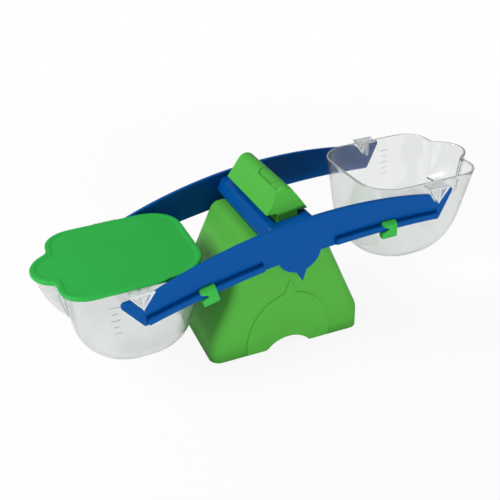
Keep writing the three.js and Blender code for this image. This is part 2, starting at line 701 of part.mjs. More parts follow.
[['left', -1], ['right', 1]].forEach(([name, side]) => {
  const hanger = new THREE.Group();
  const notch = new THREE.Vector3(side * LUG_REACH, 0, -LUG_DROP);
  hanger.position.copy(notch.applyEuler(beam.rotation).add(beam.position));
  hanger.rotation.set(0, -THREE.MathUtils.degToRad(HANG_TILT), side < 0 ? Math.PI : 0);
  balance.add(hanger);
  piece(`${name}_bucket`, geometryOf(bucket()), clear, hanger);
  if (side < 0) {
    piece('bucket_lid', bucketLid(), brightGreen, hanger);
  }
});

export default balance;
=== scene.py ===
"""Dresses the bucket balance: base, two-bar beam, buckets, lid, sliders, hardware and stage."""

import json
import math

import bmesh
import bpy
import numpy as np
from mathutils import Matrix


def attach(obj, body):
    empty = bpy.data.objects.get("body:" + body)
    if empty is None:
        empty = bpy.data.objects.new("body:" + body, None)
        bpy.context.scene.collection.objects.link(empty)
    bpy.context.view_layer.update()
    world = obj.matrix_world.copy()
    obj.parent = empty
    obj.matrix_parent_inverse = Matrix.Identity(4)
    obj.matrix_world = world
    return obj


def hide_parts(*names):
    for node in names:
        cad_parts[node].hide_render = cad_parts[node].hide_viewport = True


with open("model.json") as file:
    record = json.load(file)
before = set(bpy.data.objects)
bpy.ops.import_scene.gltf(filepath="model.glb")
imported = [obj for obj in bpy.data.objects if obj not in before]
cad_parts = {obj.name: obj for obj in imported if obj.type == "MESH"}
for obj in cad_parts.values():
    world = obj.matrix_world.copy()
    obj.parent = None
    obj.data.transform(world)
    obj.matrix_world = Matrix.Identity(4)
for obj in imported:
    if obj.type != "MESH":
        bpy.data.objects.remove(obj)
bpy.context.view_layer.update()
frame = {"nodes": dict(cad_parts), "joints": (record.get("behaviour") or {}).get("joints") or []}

bl_info = {
    "name": "Bucket Balance",
    "version": (1, 0, 0),
    "blender": (4, 5, 0),
    "location": "3D View > Sidebar > Balance",
    "description": "Builds a classroom bucket balance on its packed frame",
    "category": "Add Mesh",
}

MM = 0.001
JOINTS = {joint["name"]: joint for joint in frame["joints"]}
PIVOT = np.array(JOINTS["beam_tilt"]["pos_m"])
LEFT_LUG = np.array(JOINTS["left_swing"]["pos_m"])
RIGHT_LUG = np.array(JOINTS["right_swing"]["pos_m"])
BEAM_TILT = math.radians(-8.2)
HANG_TILT = math.radians(-1.8)

# Meshes: angles in degrees, and the flat band beside each rounded edge as a share of its radius
CREASE = 32
SOFT_CREASE = 40
BEVEL_ANGLE = 30
BEVEL_SEGMENTS = 3
FLAT_ANGLE = 0.5
MERGE = 1e-6
BAND_SHARE = 0.6
BAND_LIMIT = 0.5 * MM

# Base, tower and raised panel
SHOULDER_HALF = 31.6 * MM
SHOULDER_RADIUS = 11 * MM
SKIRT_HEIGHT = 21 * MM
SKIRT_START = -18 * MM
SKIRT_TAPER = 1 * MM
SKIRT_RADIUS = 28 * MM
BASE_STEPS = 10
ARCH_HALF = 20.5 * MM
ARCH_HEIGHT = 10 * MM
PANEL_HALF = 39 * MM
PANEL_RISE = 46 * MM
PANEL_CENTRE = 9 * MM
PANEL_RAISE = 0.8 * MM
PANEL_SINK = 0.6 * MM
PANEL_FOOT = 0.6 * MM
PANEL_FOOT_GAP = 0.5 * MM
PANEL_EDGE = 0.5 * MM
INDEX_HALF = 5.8 * MM
INDEX_TIP = 68.5 * MM
TOWER_HALF = 7.5 * MM
TOWER_REACH = 39.2 * MM
TOWER_TOP = 130 * MM
TOWER_WALL = 2 * MM
TOWER_SLOT_HALF = 4.9 * MM
TOWER_SLOT_BOTTOM = 111.2 * MM
TOWER_SINK = 0.5 * MM
TOWER_EDGE = 0.3 * MM
TOWER_END_EDGE = 0.2 * MM

# Roof-shaped cap
CAP_SEAT = 130.3 * MM
CAP_REACH = 41.5 * MM
CAP_WALL = 2 * MM
CAP_LEAN = 9 / 21.6
CAP_BOW = 9.5 * MM
CAP_EDGE = 0.5 * MM
LATCH_EDGE = 0.4 * MM
HIP_CUTS = 12
HIP_FACING = (0.85, 0.97)
HIP_NEAR = 0.05 * MM
TAB_HALF = 8.9 * MM
TAB_FOOT = 118.5 * MM
TAB_LAP = 0.8 * MM
TAB_DEPTH = 2.0 * MM
TAB_SETBACK = 0.1 * MM
TAB_LEAN = 0.17
TAB_CORNER = 0.9 * MM
TAB_EDGE = 0.5 * MM
TAB_SLOT = (2.9 * MM, 120.4 * MM)
TAB_SLOT_CORNER = 1 * MM

# Beam bars, measured from the pivot. The horn's corners are x, z and radius.
BAR_INNER_FACE = 56.7 * MM
BAR_TOP = 8.3 * MM
BAR_TOP_RADIUS = 427 * MM
BAR_BOTTOM = 24 * MM
BAR_BOTTOM_RADIUS = 773 * MM
BAR_LAP = 0.2 * MM
BOSS_DROP = 18 * MM
BOSS_RADIUS = 19.8 * MM
POINTER_HALF = 4.5 * MM
POINTER_TIP = 47.8 * MM
LUG_REACH = 130 * MM
LUG_DROP = 20 * MM
NOTCH_HALF = 6.8 * MM
NOTCH_FLARE = 2.8 * MM
NOTCH_CORNER_DROP = 10 * MM
NOTCH_CORNER_RADIUS = 2 * MM
TOP_END = 114 * MM
FOOT_REACH = 132 * MM
FOOT_RADIUS = 2 * MM
HORN_SIDE = (146.2 * MM, -11.4 * MM, 3 * MM)
HORN_TOP = (143.2 * MM, -9.1 * MM, 2.6 * MM)
HORN_INNER_RADIUS = 1.2 * MM
RAIL_DROP = 22.6 * MM
RAIL_HEIGHT = 5.4 * MM
RAIL_DEPTH = 3.8 * MM
RAIL_START = 32 * MM
RAIL_END = 129 * MM
RAIL_EDGE = 0.9 * MM
STRIP_RISE = 0.5 * MM
STRIP_EDGE = 0.3 * MM
GROOVE_HEIGHT = 2.4 * MM
GROOVE_DEPTH = 1.2 * MM
HUB_HALF = 22 * MM
HUB_RAISE = 0.25 * MM
HUB_MARGIN = 0.8 * MM
HUB_EDGE = 0.2 * MM

# Sliders, measured from the rail's lower edge
SLIDER_PLACES = {"left_slider": -78.5 * MM, "right_slider": 81 * MM}
SLIDER_PLAY = 0.3 * MM
SLIDER_RIGHT = 5.6 * MM
SLIDER_EDGE = 0.25 * MM
TONGUE_LEFT = -6 * MM
TONGUE_RIGHT = 5 * MM
TONGUE_LAP = 0.8 * MM
TONGUE_EDGE = 0.2 * MM
# Height, left edge, front and rear of the slider's sections, from its foot to its brow
SLIDER_SECTIONS = np.array([
    (-6.0, -7.3, -5.5, -0.7), (-5.6, -7.9, -5.9, -0.3), (-1.3, -8.0, -5.9, -0.3),
    (-0.6, -7.4, -5.9, -0.3), (-0.3, -6.6, -5.9, -0.3), (-0.29, -6.6, -5.9, -4.1),
    (1.2, -2.4, -5.8, -4.1), (1.9, -2.0, -5.8, -4.1), (2.6, -2.4, -5.7, -4.1),
    (4.9, -6.9, -5.4, -4.1), (5.4, -7.4, -5.1, -4.1), (5.7, -7.5, -4.8, -4.1),
    (5.71, -7.5, -4.8, -0.3), (7.4, -6.8, -2.6, -0.3), (7.8, -6.4, -1.9, -0.6),
]) * MM

# Bridge, measured from the pivot
BRIDGE_FOOT = -10.397 * MM
BRIDGE_FOOT_HALF = 22.5 * MM
BRIDGE_HALF = 24 * MM
BRIDGE_WAIST = -5 * MM
BRIDGE_WAIST_RADIUS = 6 * MM
BRIDGE_TOP = 4 * MM
BRIDGE_TOP_HALF = 18 * MM
BRIDGE_TOP_RADIUS = 3.5 * MM
BRIDGE_WALL = 2.5 * MM
BRIDGE_REACH = 56.4 * MM
BRIDGE_END_WALL = 3 * MM
BRIDGE_END_INSET = 0.2 * MM
BRIDGE_END_EDGE = 0.6 * MM
WINDOW_HALF = 10.97 * MM
WINDOW_REACH = 44.1 * MM

# Buckets, measured from the hanging axis
RIM_RISE = 16.4 * MM
INNER_REACH = 55.8 * MM
OUTER_REACH = 52.8 * MM
HALF_WIDTH = 52.2 * MM
INNER_CORNER = 27.5 * MM
OUTER_CORNER = 18.8 * MM
CORNER_GROWTH = 0.35
ROUND_SHARE = 0.9
DRAFT = math.tan(math.radians(1.5))
LEAN = math.tan(math.radians(3))
BOTTOM_HEIGHT = 40 * MM
BOTTOM_REACH = 21 * MM
SPOUT_HALF = 20.3 * MM
SPOUT_REACH = 16.6 * MM
SPOUT_DEPTH = 36 * MM
SPOUT_POWER = 2 / 1.75
LIP_MARGIN = 0.01 * MM

# Hanging lugs, measured from the hanging axis
LUG_SINK = 0.9 * MM
LUG_PLATE_HALF = 8.8 * MM
LUG_PLATE_LOW = 13.4 * MM
LUG_PLATE_HIGH = 14.9 * MM
LUG_PLATE_EDGES = (0.3 * MM, 0.4 * MM)
BLADE_HALF = 1.1 * MM
BLADE_EDGE = 0.3 * MM
BLADE_SHOULDER = 2.2 * MM
BLADE_LAP = 0.7 * MM
FLANGE_HALF = 10.2 * MM
FLANGE_FOOT = 1.2 * MM
FLANGE_INNER = 61.2 * MM
FLANGE_OUTER = 62.8 * MM
FLANGE_WEB = 0.9 * MM
FLANGE_EDGE = 0.25 * MM
FRAME_WIDTH = 1.25 * MM
FRAME_START = 0.5 * MM
FRAME_EDGE = 0.3 * MM
RIB_HALF = 0.5 * MM
RIB_FOOT = 3 * MM
RIB_HEAD = 1 * MM
LUG_EDGE = 0.2 * MM
CROSS_HALF = 0.6 * MM
CROSS_START = 4 * MM
CROSS_SINK = 0.5 * MM
CROSS_RISE = 0.6 * MM

# Level marks on the bucket's wall
MARK_COUNT = 5
MARK_FIRST = 14 * MM
MARK_STEP = 6 * MM
MARK_PLACE = 20 * MM
MARK_LONG = 4 * MM
MARK_SHORT = 2.4 * MM
MARK_HALF = 0.35 * MM
MARK_CORNER = 0.3 * MM
MARK_SINK = 0.3 * MM
MARK_RAISE = 0.25 * MM
MARK_EDGE = 0.12 * MM

# Lid
LID_UNDER = 16.7 * MM
LID_THICKNESS = 1.4 * MM
LID_FIT = 0.4 * MM
LID_SKIRT = 2 * MM
LID_SKIRT_DROP = 1 * MM
LID_SKIRT_RADII = (0.2 * MM, 0.5 * MM)
LID_EDGE_RADIUS = 1.1 * MM
LID_BEAD = 0.7 * MM
LID_BEAD_WIDTH = 3 * MM
LID_BEAD_SLOPE = 2.6 * MM
LID_BEAD_RADIUS = 3.5 * MM
PLUG_WALL = 1.5 * MM
PLUG_DEPTH = 4 * MM
PLUG_FLAT = 0.6 * MM

# Finishes: roughness, IOR, and in millimetres the clouds' width and the grain's width and depth
MOULDINGS = {
    "Moulded green ABS": (0.36, 1.53, 60, 1.3, 0.05),
    "Moulded bright green ABS": (0.34, 1.53, 40, 1.2, 0.05),
    "Moulded blue ABS": (0.34, 1.53, 70, 1.3, 0.04),
    "Moulded green polypropylene": (0.42, 1.49, 20, 1.0, 0.03),
    "Moulded bright green polypropylene": (0.4, 1.49, 50, 1.4, 0.04),
    "Moulded white acetal": (0.4, 1.48, 15, 0.8, 0.02),
}
PIGMENT_DEEP = 0.93
PIGMENT_BRIGHT = 1.05
GLOSS_SPREAD = 0.05
GRAIN_STRENGTH = 0.35
PLASTIC_SPECULAR = 0.1
FLOW_WIDTH = 35 * MM
FLOW_STRENGTH = 0.08
FLOW_DEPTH = 0.4 * MM
CLEAR_IOR = 1.59
CLEAR_ROUGHNESS = (0.06, 0.14)
SHADOW_TINT = (0.88, 0.89, 0.9, 1.0)
SPANGLE_WIDTH = 2.5 * MM
ZINC_ROUGHNESS = (0.24, 0.38)

# Stage: metres, and the camera's yaw, pitch and roll in degrees
WHITE = (1.0, 1.0, 1.0, 1.0)
FLOOR_REACH = 6.0
FLOOR_HEIGHT = -0.4 * MM
FLOOR_PLAIN = 0.9
FLOOR_FADE = {"From Min": 0.25, "From Max": 0.9}
KEY_SIZE = (0.6, 0.6)
KEY_PLACE = (-0.98, 0.14, 1.0)
STRIP_SIZE = (1.0, 0.1)
STRIP_PLACE = (0.1, -1.25, 0.065)
LAMP_TARGET = (0.0, 0.0, 0.09)
CAMERA_ANGLES = (22.977, 30.362, -0.341)
CAMERA_PLACE = (-0.211711, -0.465245, 0.368329)
FOCAL_SHARE = 670.904 / 500
SENSOR_WIDTH = 36.0


def linear(code):
    """sRGB hex to linear RGBA: c / 12.92 up to 0.04045, and ((c + 0.055) / 1.055)^2.4 above it."""
    share = np.array([int(code[place:place + 2], 16) for place in (1, 3, 5)]) / 255
    light = np.where(share <= 0.04045, share / 12.92, ((share + 0.055) / 1.055) ** 2.4)
    return (*light.tolist(), 1.0)


def length(name, description, value):
    """A length property whose default is given in millimetres."""
    return bpy.props.FloatProperty(
        name=name, description=description, default=value * MM, min=0.0,
        unit="LENGTH", subtype="DISTANCE",
    )


def colour(name, description, code):
    """A colour property whose default is given as sRGB hex."""
    return bpy.props.FloatVectorProperty(
        name=name, description=description, default=linear(code), size=4, min=0.0, max=1.0,
        subtype="COLOR",
    )


class BaseSettings(bpy.types.PropertyGroup):
    half_length: length("Half length", "From the middle to either end at the floor", 71)
    half_depth: length("Half depth", "From the middle to the front or rear face", 50.5)
    height: length("Height", "From the floor to the flat top under the tower", 103.7)
    edge: length("Edge radius", "Rounding of the edges of the front and rear faces", 9)
    wall: length("Wall", "Thickness of the moulded wall", 2.4)
    green: colour("Base green", "Colour of the base", "#54AE41")
    cap_green: colour("Cap green", "Colour of the roof-shaped cap and its latch", "#50B243")


class BeamSettings(bpy.types.PropertyGroup):
    thickness: length("Bar thickness", "Thickness of each bar without its rail", 3.5)
    edge: length("Edge radius", "Rounding along the bar's edges", 0.7)
    blue: colour("Beam blue", "Colour of both bars and the bridge", "#00519C")
    slider_green: colour("Slider green", "Colour of the two sliders", "#3DB54B")


class BucketSettings(bpy.types.PropertyGroup):
    depth: length("Depth", "From the rim to the underside of the bottom", 80)
    wall: length("Wall", "Thickness of the bucket's wall", 1.6)
    clear: colour("Clear tint", "Tint of the clear plastic", "#EFF1F0")
    lid_green: colour("Lid green", "Colour of the lid", "#2FB14A")


class StageSettings(bpy.types.PropertyGroup):
    key: bpy.props.FloatProperty(
        name="Key light", description="Power of the large lamp above",
        default=14.5, min=0.0, unit="POWER",
    )
    front: bpy.props.FloatProperty(
        name="Front light", description="Power of the low strip lamp in front",
        default=8.4, min=0.0, unit="POWER",
    )
    fill: bpy.props.FloatProperty(
        name="Fill light", description="Strength of the even light from all round",
        default=0.28, min=0.0,
    )
    floor: colour("Floor", "Colour of the plain floor", "#FAFAFA")


def rounded(corners, steps=8):
    """Outline from corners (x, y, radius): each corner becomes an arc that touches both edges."""
    runs = []
    for place, (x, y, radius) in enumerate(corners):
        here = np.array([x, y])
        if radius == 0:
            runs.append(here[None])
            continue
        before = np.array(corners[place - 1][:2]) - here
        after = np.array(corners[(place + 1) % len(corners)][:2]) - here
        before = before / np.linalg.norm(before)
        after = after / np.linalg.norm(after)
        half = np.arccos(before @ after) / 2
        middle = (before + after) / np.linalg.norm(before + after)
        centre = here + middle * radius / np.sin(half)
        start = here + before * radius / np.tan(half) - centre
        end = here + after * radius / np.tan(half) - centre
        sweep = np.arctan2(start[0] * end[1] - start[1] * end[0], start @ end)
        angle = sweep * np.linspace(0, 1, steps + 1)
        side = np.array([-start[1], start[0]])
        runs.append(centre + np.outer(np.cos(angle), start) + np.outer(np.sin(angle), side))
    return np.concatenate(runs)


def oblong(left, right, low, high, radius=0):
    """Rectangle with rounded corners, anticlockwise from the lower left."""
    corners = ((left, low), (right, low), (right, high), (left, high))
    return rounded([(x, y, radius) for x, y in corners], 3)


def mirrored(right):
    """The right half of an outline, bottom to top, and then its mirror image from top to bottom."""
    left = right[right[:, 0] > 1e-9][::-1] * (-1, 1)
    return np.concatenate([right, left])


def set_in(outline, amount, closed=True):
    """Anticlockwise outline moved inwards: each point goes along the mitre of its two edges."""
    ahead = np.roll(outline, -1, 0) - outline
    ahead = ahead / np.linalg.norm(ahead, axis=1, keepdims=True)
    normal = np.stack([-ahead[:, 1], ahead[:, 0]], 1)
    behind = np.roll(normal, 1, 0)
    if not closed:
        for end in (0, -1):
            normal[end] = behind[end] = (np.sign(-outline[end, 0]), 0)
    mitre = (normal + behind) / (1 + np.sum(normal * behind, 1, keepdims=True))
    return outline + mitre * amount


def skin(rings, closed=True, ends=True):
    """Quads between neighbouring rings (ring, point, xyz), and one face over each end."""
    count, size = rings.shape[:2]
    index = np.arange(count * size).reshape(count, size)
    ahead = np.roll(index, -1, 1)
    last = size if closed else size - 1
    quads = np.stack([index[:-1], ahead[:-1], ahead[1:], index[1:]], -1)[:, :last].reshape(-1, 4)
    faces = [quads]
    if ends:
        faces += [index[:1, ::-1], index[-1:]]
    return rings.reshape(-1, 3), faces


def standing(outline, y):
    """An outline in X and Z as points at one Y."""
    return np.column_stack([outline[:, 0], np.full(len(outline), y), outline[:, 1]])


def lying(outline, z):
    """An outline in X and Y as points at one Z."""
    return np.column_stack([outline, np.full(len(outline), z)])


def edge_steps(low, high, low_edge, high_edge, steps=4):
    """Heights and insets over a slab: each edge is a quarter circle, inset r(1 - sin a) at depth
    r(1 - cos a), with a narrow flat band beside it that keeps the shading of the face even."""
    turn = np.linspace(0, np.pi / 2, steps + 1)
    rows = []
    for face, radius, side in ((low, low_edge, 1), (high, high_edge, -1)):
        if radius == 0:
            rows.append(np.array([[face, 0.0]]))
            continue
        band = min(BAND_SHARE * radius, BAND_LIMIT)
        inset = np.append(radius + band, radius * (1 - np.sin(turn)))
        place = face + side * np.append(0, radius * (1 - np.cos(turn)))
        rows.append(np.column_stack([place, inset]))
    return np.concatenate([rows[0], rows[1][::-1]])


def slab(outline, front, rear, front_edge, rear_edge):
    """Plate standing in X and Z: its outline from rear to front, set in along rounded edges."""
    rows = edge_steps(front, rear, front_edge, rear_edge)[::-1]
    return skin(np.stack([standing(set_in(outline, inset), y) for y, inset in rows]))


def block(outline, low, high, low_edge, high_edge):
    """Plate lying in X and Y: its outline from low to high, set in along rounded edges."""
    rows = edge_steps(low, high, low_edge, high_edge)
    return skin(np.stack([lying(set_in(outline, inset), z) for z, inset in rows]))


def turned(parts, angle=0.0, place=(0, 0, 0), about=False):
    """Parts turned half round Z if asked, then by an angle about Y, x' = x cos + z sin and
    z' = z cos - x sin, and then moved to a place."""
    sine, cosine = math.sin(angle), math.cos(angle)
    half = -1 if about else 1
    moved = []
    for points, faces in parts:
        x, y, z = (points * (half, half, 1)).T
        points = np.column_stack([x * cosine + z * sine, y, z * cosine - x * sine])
        moved.append((points + np.asarray(place), faces))
    return moved


def piece(name, parts, material, body, replaced=(), crease=CREASE):
    """One object from parts (points, face arrays), smooth but for edges sharper than the crease."""
    starts = np.cumsum([0] + [len(points) for points, _ in parts])
    faces = []
    for (_, lists), start in zip(parts, starts):
        for rows in lists:
            faces += (rows + start).tolist()
    mesh = bpy.data.meshes.new(name)
    mesh.from_pydata(np.concatenate([points for points, _ in parts]).tolist(), [], faces)
    return dressed(name, mesh, material, body, replaced, crease)


def walled(thing, thickness):
    """Gives an open skin a wall on its inner side."""
    wall = thing.modifiers.new("Wall", "SOLIDIFY")
    wall.thickness = thickness
    wall.offset = -1
    wall.use_even_offset = True


def dressed(name, mesh, material, body, replaced, crease):
    """Puts a mesh in the scene with its finish, on its body, in place of its nodes."""
    mesh.shade_smooth()
    mesh.set_sharp_from_angle(angle=math.radians(crease))
    mesh.materials.append(material)
    thing = bpy.data.objects.new(name, mesh)
    bpy.context.scene.collection.objects.link(thing)
    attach(thing, body)
    if replaced:
        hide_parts(*replaced)
    return thing


def bow_hip(shape):
    """Bows the roof's front hip: cut into level strips, each point at height t of the hip, 0 at the
    eave and 1 at the ridge, goes back by bow t squared in place of the plane's lean."""
    low, high = HIP_FACING
    ridge = max(vertex.co.z for vertex in shape.verts)
    for height in np.linspace(CAP_SEAT, ridge, HIP_CUTS + 2)[1:-1]:
        hip = [face for face in shape.faces if low < abs(face.normal.y) < high]
        edges = {edge for face in hip for edge in face.edges}
        points = {vertex for face in hip for vertex in face.verts}
        bmesh.ops.bisect_plane(
            shape, geom=[*points, *edges, *hip], dist=MERGE,
            plane_co=(0, 0, height), plane_no=(0, 0, 1),
        )
    mesh = bpy.data.meshes.new("roof")
    shape.to_mesh(mesh)
    flat = np.empty(3 * len(mesh.vertices))
    mesh.vertices.foreach_get("co", flat)
    points = flat.reshape(-1, 3)
    above = points[:, 2] - CAP_SEAT
    behind = points[:, 1] + CAP_REACH - CAP_LEAN * above
    hip = (above > 0) & (np.minimum(abs(behind), abs(behind - CAP_WALL)) < HIP_NEAR)
    share = above[hip] / (ridge - CAP_SEAT)
    points[hip, 1] += CAP_BOW * share ** 2 - CAP_LEAN * above[hip]
    mesh.vertices.foreach_set("co", points.ravel())
    return mesh


def softened(name, node, material, body, width, hipped=False):
    """A merged copy of a node's mesh, its flat faces joined and its sharp edges rounded."""
    shape = bmesh.new()
    shape.from_mesh(frame["nodes"][node].data)
    bmesh.ops.remove_doubles(shape, verts=shape.verts, dist=MERGE)
    bmesh.ops.dissolve_limit(
        shape, angle_limit=math.radians(FLAT_ANGLE), verts=shape.verts, edges=shape.edges
    )
    if hipped:
        mesh = bow_hip(shape)
    else:
        mesh = bpy.data.meshes.new(name)
        shape.to_mesh(mesh)
    shape.free()
    thing = dressed(name, mesh, material, body, (node,), SOFT_CREASE)
    bevel = thing.modifiers.new("Moulded edge", "BEVEL")
    bevel.width = width
    bevel.segments = BEVEL_SEGMENTS
    bevel.limit_method = "ANGLE"
    bevel.angle_limit = math.radians(BEVEL_ANGLE)
    bevel.harden_normals = True


def add(tree, kind, inputs=None, **settings):
    """Adds a node, sets its attributes, and sets or links its inputs."""
    node = tree.nodes.new(kind)
    for name, value in settings.items():
        setattr(node, name, value)
    for name, value in (inputs or {}).items():
        if isinstance(value, bpy.types.NodeSocket):
            tree.links.new(value, node.inputs[name])
        else:
            node.inputs[name].default_value = value
    return node


def new_material(name):
    """A material with its output node and the object's coordinates."""
    material = bpy.data.materials.new(name)
    material.use_nodes = True
    tree = material.node_tree
    tree.nodes.clear()
    where = add(tree, "ShaderNodeTexCoord").outputs["Object"]
    return material, tree, add(tree, "ShaderNodeOutputMaterial"), where


def clouded(tree, where, width, detail, low, high):
    """Noise in patches of a width, and a roughness that follows it from low to high."""
    noise = add(tree, "ShaderNodeTexNoise", {"Vector": where, "Scale": 1 / width, "Detail": detail})
    level = noise.outputs["Fac"]
    rough = add(
        tree, "ShaderNodeMapRange",
        {"Value": level, "From Min": 0.3, "From Max": 0.7, "To Min": low, "To Max": high},
    )
    return level, rough.outputs["Result"]


def moulded(name, tint):
    """Injection-moulded plastic. Wide faint clouds of pigment keep a big face from looking flat,
    and a fine eroded grain breaks up the gloss."""
    rough, ior, *lengths = MOULDINGS[name]
    cloud, grain, depth = (value * MM for value in lengths)
    material, tree, output, where = new_material(name)
    low, high = rough - GLOSS_SPREAD, rough + GLOSS_SPREAD
    clouds, gloss = clouded(tree, where, cloud, 3.0, low, high)
    eroded = add(tree, "ShaderNodeTexNoise", {"Vector": where, "Scale": 1 / grain, "Detail": 2.0})
    deep = [PIGMENT_DEEP * channel for channel in tint[:3]] + [1.0]
    bright = [min(1.0, PIGMENT_BRIGHT * channel) for channel in tint[:3]] + [1.0]
    pigment = add(tree, "ShaderNodeMix", {"Factor": clouds, 6: deep, 7: bright}, data_type="RGBA")
    bump = add(
        tree, "ShaderNodeBump",
        {"Height": eroded.outputs["Fac"], "Strength": GRAIN_STRENGTH, "Distance": depth},
    )
    plastic = add(
        tree, "ShaderNodeBsdfPrincipled",
        {
            "Base Color": pigment.outputs[2],
            "Roughness": gloss,
            "Normal": bump.outputs["Normal"],
            "IOR": ior,
            "Specular IOR Level": PLASTIC_SPECULAR,
        },
    )
    tree.links.new(plastic.outputs["BSDF"], output.inputs["Surface"])
    return material


def clear_polystyrene(name, tint, clearness, lip=None):
    """Clear moulded polystyrene. It bends light strongly, so rims and corners draw bright and grey
    lines, and it is a little milky, which veils what is behind the wall. With lip, the points that
    carry the lip attribute have that lower clearness, which whitens the rim into a pale line: a
    painted highlight along the rim, not a dark one. Lamps shine through it."""
    material, tree, output, where = new_material(name)
    flow, haze = clouded(tree, where, FLOW_WIDTH, 2.0, *CLEAR_ROUGHNESS)
    bump = add(
        tree, "ShaderNodeBump",
        {"Height": flow, "Strength": FLOW_STRENGTH, "Distance": FLOW_DEPTH},
    )
    # Painted highlight: a lower clearness on the lip points whitens the rim
    if lip is not None:
        edge = add(tree, "ShaderNodeAttribute", attribute_name="lip")
        rim_highlight = add(
            tree, "ShaderNodeMapRange",
            {"Value": edge.outputs["Fac"], "To Min": clearness, "To Max": lip},
        )
        clearness = rim_highlight.outputs["Result"]
    wall = add(
        tree, "ShaderNodeBsdfPrincipled",
        {
            "Base Color": tint,
            "Roughness": haze,
            "IOR": CLEAR_IOR,
            "Transmission Weight": clearness,
            "Normal": bump.outputs["Normal"],
        },
    )
    through = add(tree, "ShaderNodeBsdfTransparent", {"Color": SHADOW_TINT})
    path = add(tree, "ShaderNodeLightPath")
    both = add(
        tree, "ShaderNodeMixShader",
        {0: path.outputs["Is Shadow Ray"], 1: wall.outputs[0], 2: through.outputs[0]},
    )
    tree.links.new(both.outputs[0], output.inputs["Surface"])
    return material


def zinc_plated_steel():
    """Zinc-plated steel rod and screws: a bright grey metal with a slightly cloudy plating."""
    material, tree, output, where = new_material("Zinc-plated steel")
    _, gloss = clouded(tree, where, SPANGLE_WIDTH, 3.0, *ZINC_ROUGHNESS)
    metal = add(
        tree, "ShaderNodeBsdfPrincipled",
        {"Base Color": linear("#C3C6C9"), "Metallic": 1.0, "Roughness": gloss},
    )
    tree.links.new(metal.outputs[0], output.inputs["Surface"])
    return material


def base_outline(half_length, height, inset=0.0):
    """A-shaped outline from the right floor edge over the top to the left: upright skirt, bend,
    slope and shoulder. The skirt's taper starts below the floor."""
    skirt = half_length - SKIRT_TAPER
    foot = half_length - SKIRT_TAPER * SKIRT_START / (SKIRT_START - SKIRT_HEIGHT)
    right = rounded([
        (foot, 0, 0),
        (skirt, SKIRT_HEIGHT, SKIRT_RADIUS),
        (SHOULDER_HALF, height, SHOULDER_RADIUS),
        (-SHOULDER_HALF, height, 0),
    ], BASE_STEPS)[:-1]
    return set_in(mirrored(right), inset, closed=False)


def arch(steps=24):
    """The arched cut-out from left to right: a circle through both feet and the crown."""
    radius = (ARCH_HALF ** 2 + ARCH_HEIGHT ** 2) / (2 * ARCH_HEIGHT)
    reach = math.asin(ARCH_HALF / radius)
    angle = np.linspace(-reach, reach, steps + 1)
    return np.column_stack([radius * np.sin(angle), ARCH_HEIGHT - radius + radius * np.cos(angle)])


def base_skin(settings):
    """Outside of the base: the outline carried from rear to front, set in by r(1 - sin a) over each
    rounded edge, and a flat face at each end whose lower edge follows the arch."""
    depth = settings.half_depth
    rows = edge_steps(-depth, depth, settings.edge, settings.edge, BASE_STEPS)[::-1]
    rings = np.stack([
        standing(base_outline(settings.half_length, settings.height, inset), y)
        for y, inset in rows
    ])
    points, faces = skin(rings, closed=False, ends=False)
    count, size = len(points), rings.shape[1]
    bow = arch()
    foot = count + np.arange(len(bow))
    rear = np.concatenate([np.arange(size), foot])[::-1]
    front = np.concatenate([count - size + np.arange(size), foot + len(bow)])
    points = np.concatenate([points, standing(bow, depth), standing(bow, -depth)])
    return points, [*faces, rear[None], front[None]]


def index_panel(face):
    """Raised panel: half an ellipse cut off by the floor and the arch, with a pointed index."""
    shoulder = math.acos(INDEX_HALF / PANEL_HALF)
    angle = np.linspace(0, shoulder, 24)
    rise = np.column_stack([PANEL_HALF * np.cos(angle), PANEL_CENTRE + PANEL_RISE * np.sin(angle)])
    right = np.concatenate([[[PANEL_HALF, PANEL_FOOT]], rise, [[0, INDEX_TIP]]])
    bow = arch()
    bow = bow[bow[:, 1] > PANEL_FOOT]
    foot = np.array([[ARCH_HALF + PANEL_FOOT_GAP, PANEL_FOOT]])
    outline = np.concatenate([mirrored(right), foot * (-1, 1), bow, foot])
    return slab(outline, face - PANEL_RAISE, face + PANEL_SINK, PANEL_EDGE, 0)


def tower_walls(height):
    """Tower: two channel-shaped side walls, open at the bearings, and a low wall at each end."""
    slot = TOWER_SLOT_HALF
    inner = TOWER_HALF - TOWER_WALL
    reach = TOWER_REACH - TOWER_WALL
    channel = np.array([
        (slot, -TOWER_REACH), (TOWER_HALF, -TOWER_REACH), (TOWER_HALF, TOWER_REACH),
        (slot, TOWER_REACH), (slot, reach), (inner, reach), (inner, -reach), (slot, -reach),
    ])
    end = oblong(-slot, slot, -TOWER_REACH, -reach)
    low = height - TOWER_SINK
    walls = [
        block(channel, low, TOWER_TOP, 0, TOWER_EDGE),
        block(end, low, TOWER_SLOT_BOTTOM, 0, TOWER_END_EDGE),
    ]
    return walls + turned(walls, about=True)


def cap_tab():
    """Tab under the front eave: a plate slotted to drop over the axle, which leans on from the hip,
    y less by lean times the depth below the seat."""
    head = CAP_SEAT + TAB_LAP
    slot, slot_top = TAB_SLOT
    outline = rounded([
        (-TAB_HALF, TAB_FOOT, TAB_CORNER), (-slot, TAB_FOOT, 0),
        (-slot, slot_top, TAB_SLOT_CORNER), (slot, slot_top, TAB_SLOT_CORNER),
        (slot, TAB_FOOT, 0), (TAB_HALF, TAB_FOOT, TAB_CORNER),
        (TAB_HALF, head, 0), (-TAB_HALF, head, 0),
    ])
    front = TAB_SETBACK - CAP_REACH
    points, faces = slab(outline, front, front + TAB_DEPTH, TAB_EDGE, 0)
    points[:, 1] -= TAB_LEAN * (CAP_SEAT - points[:, 2])
    return points, faces


def bar_top(x):
    """Height of the bar's top arc."""
    return BAR_TOP - BAR_TOP_RADIUS + np.sqrt(BAR_TOP_RADIUS ** 2 - x ** 2)


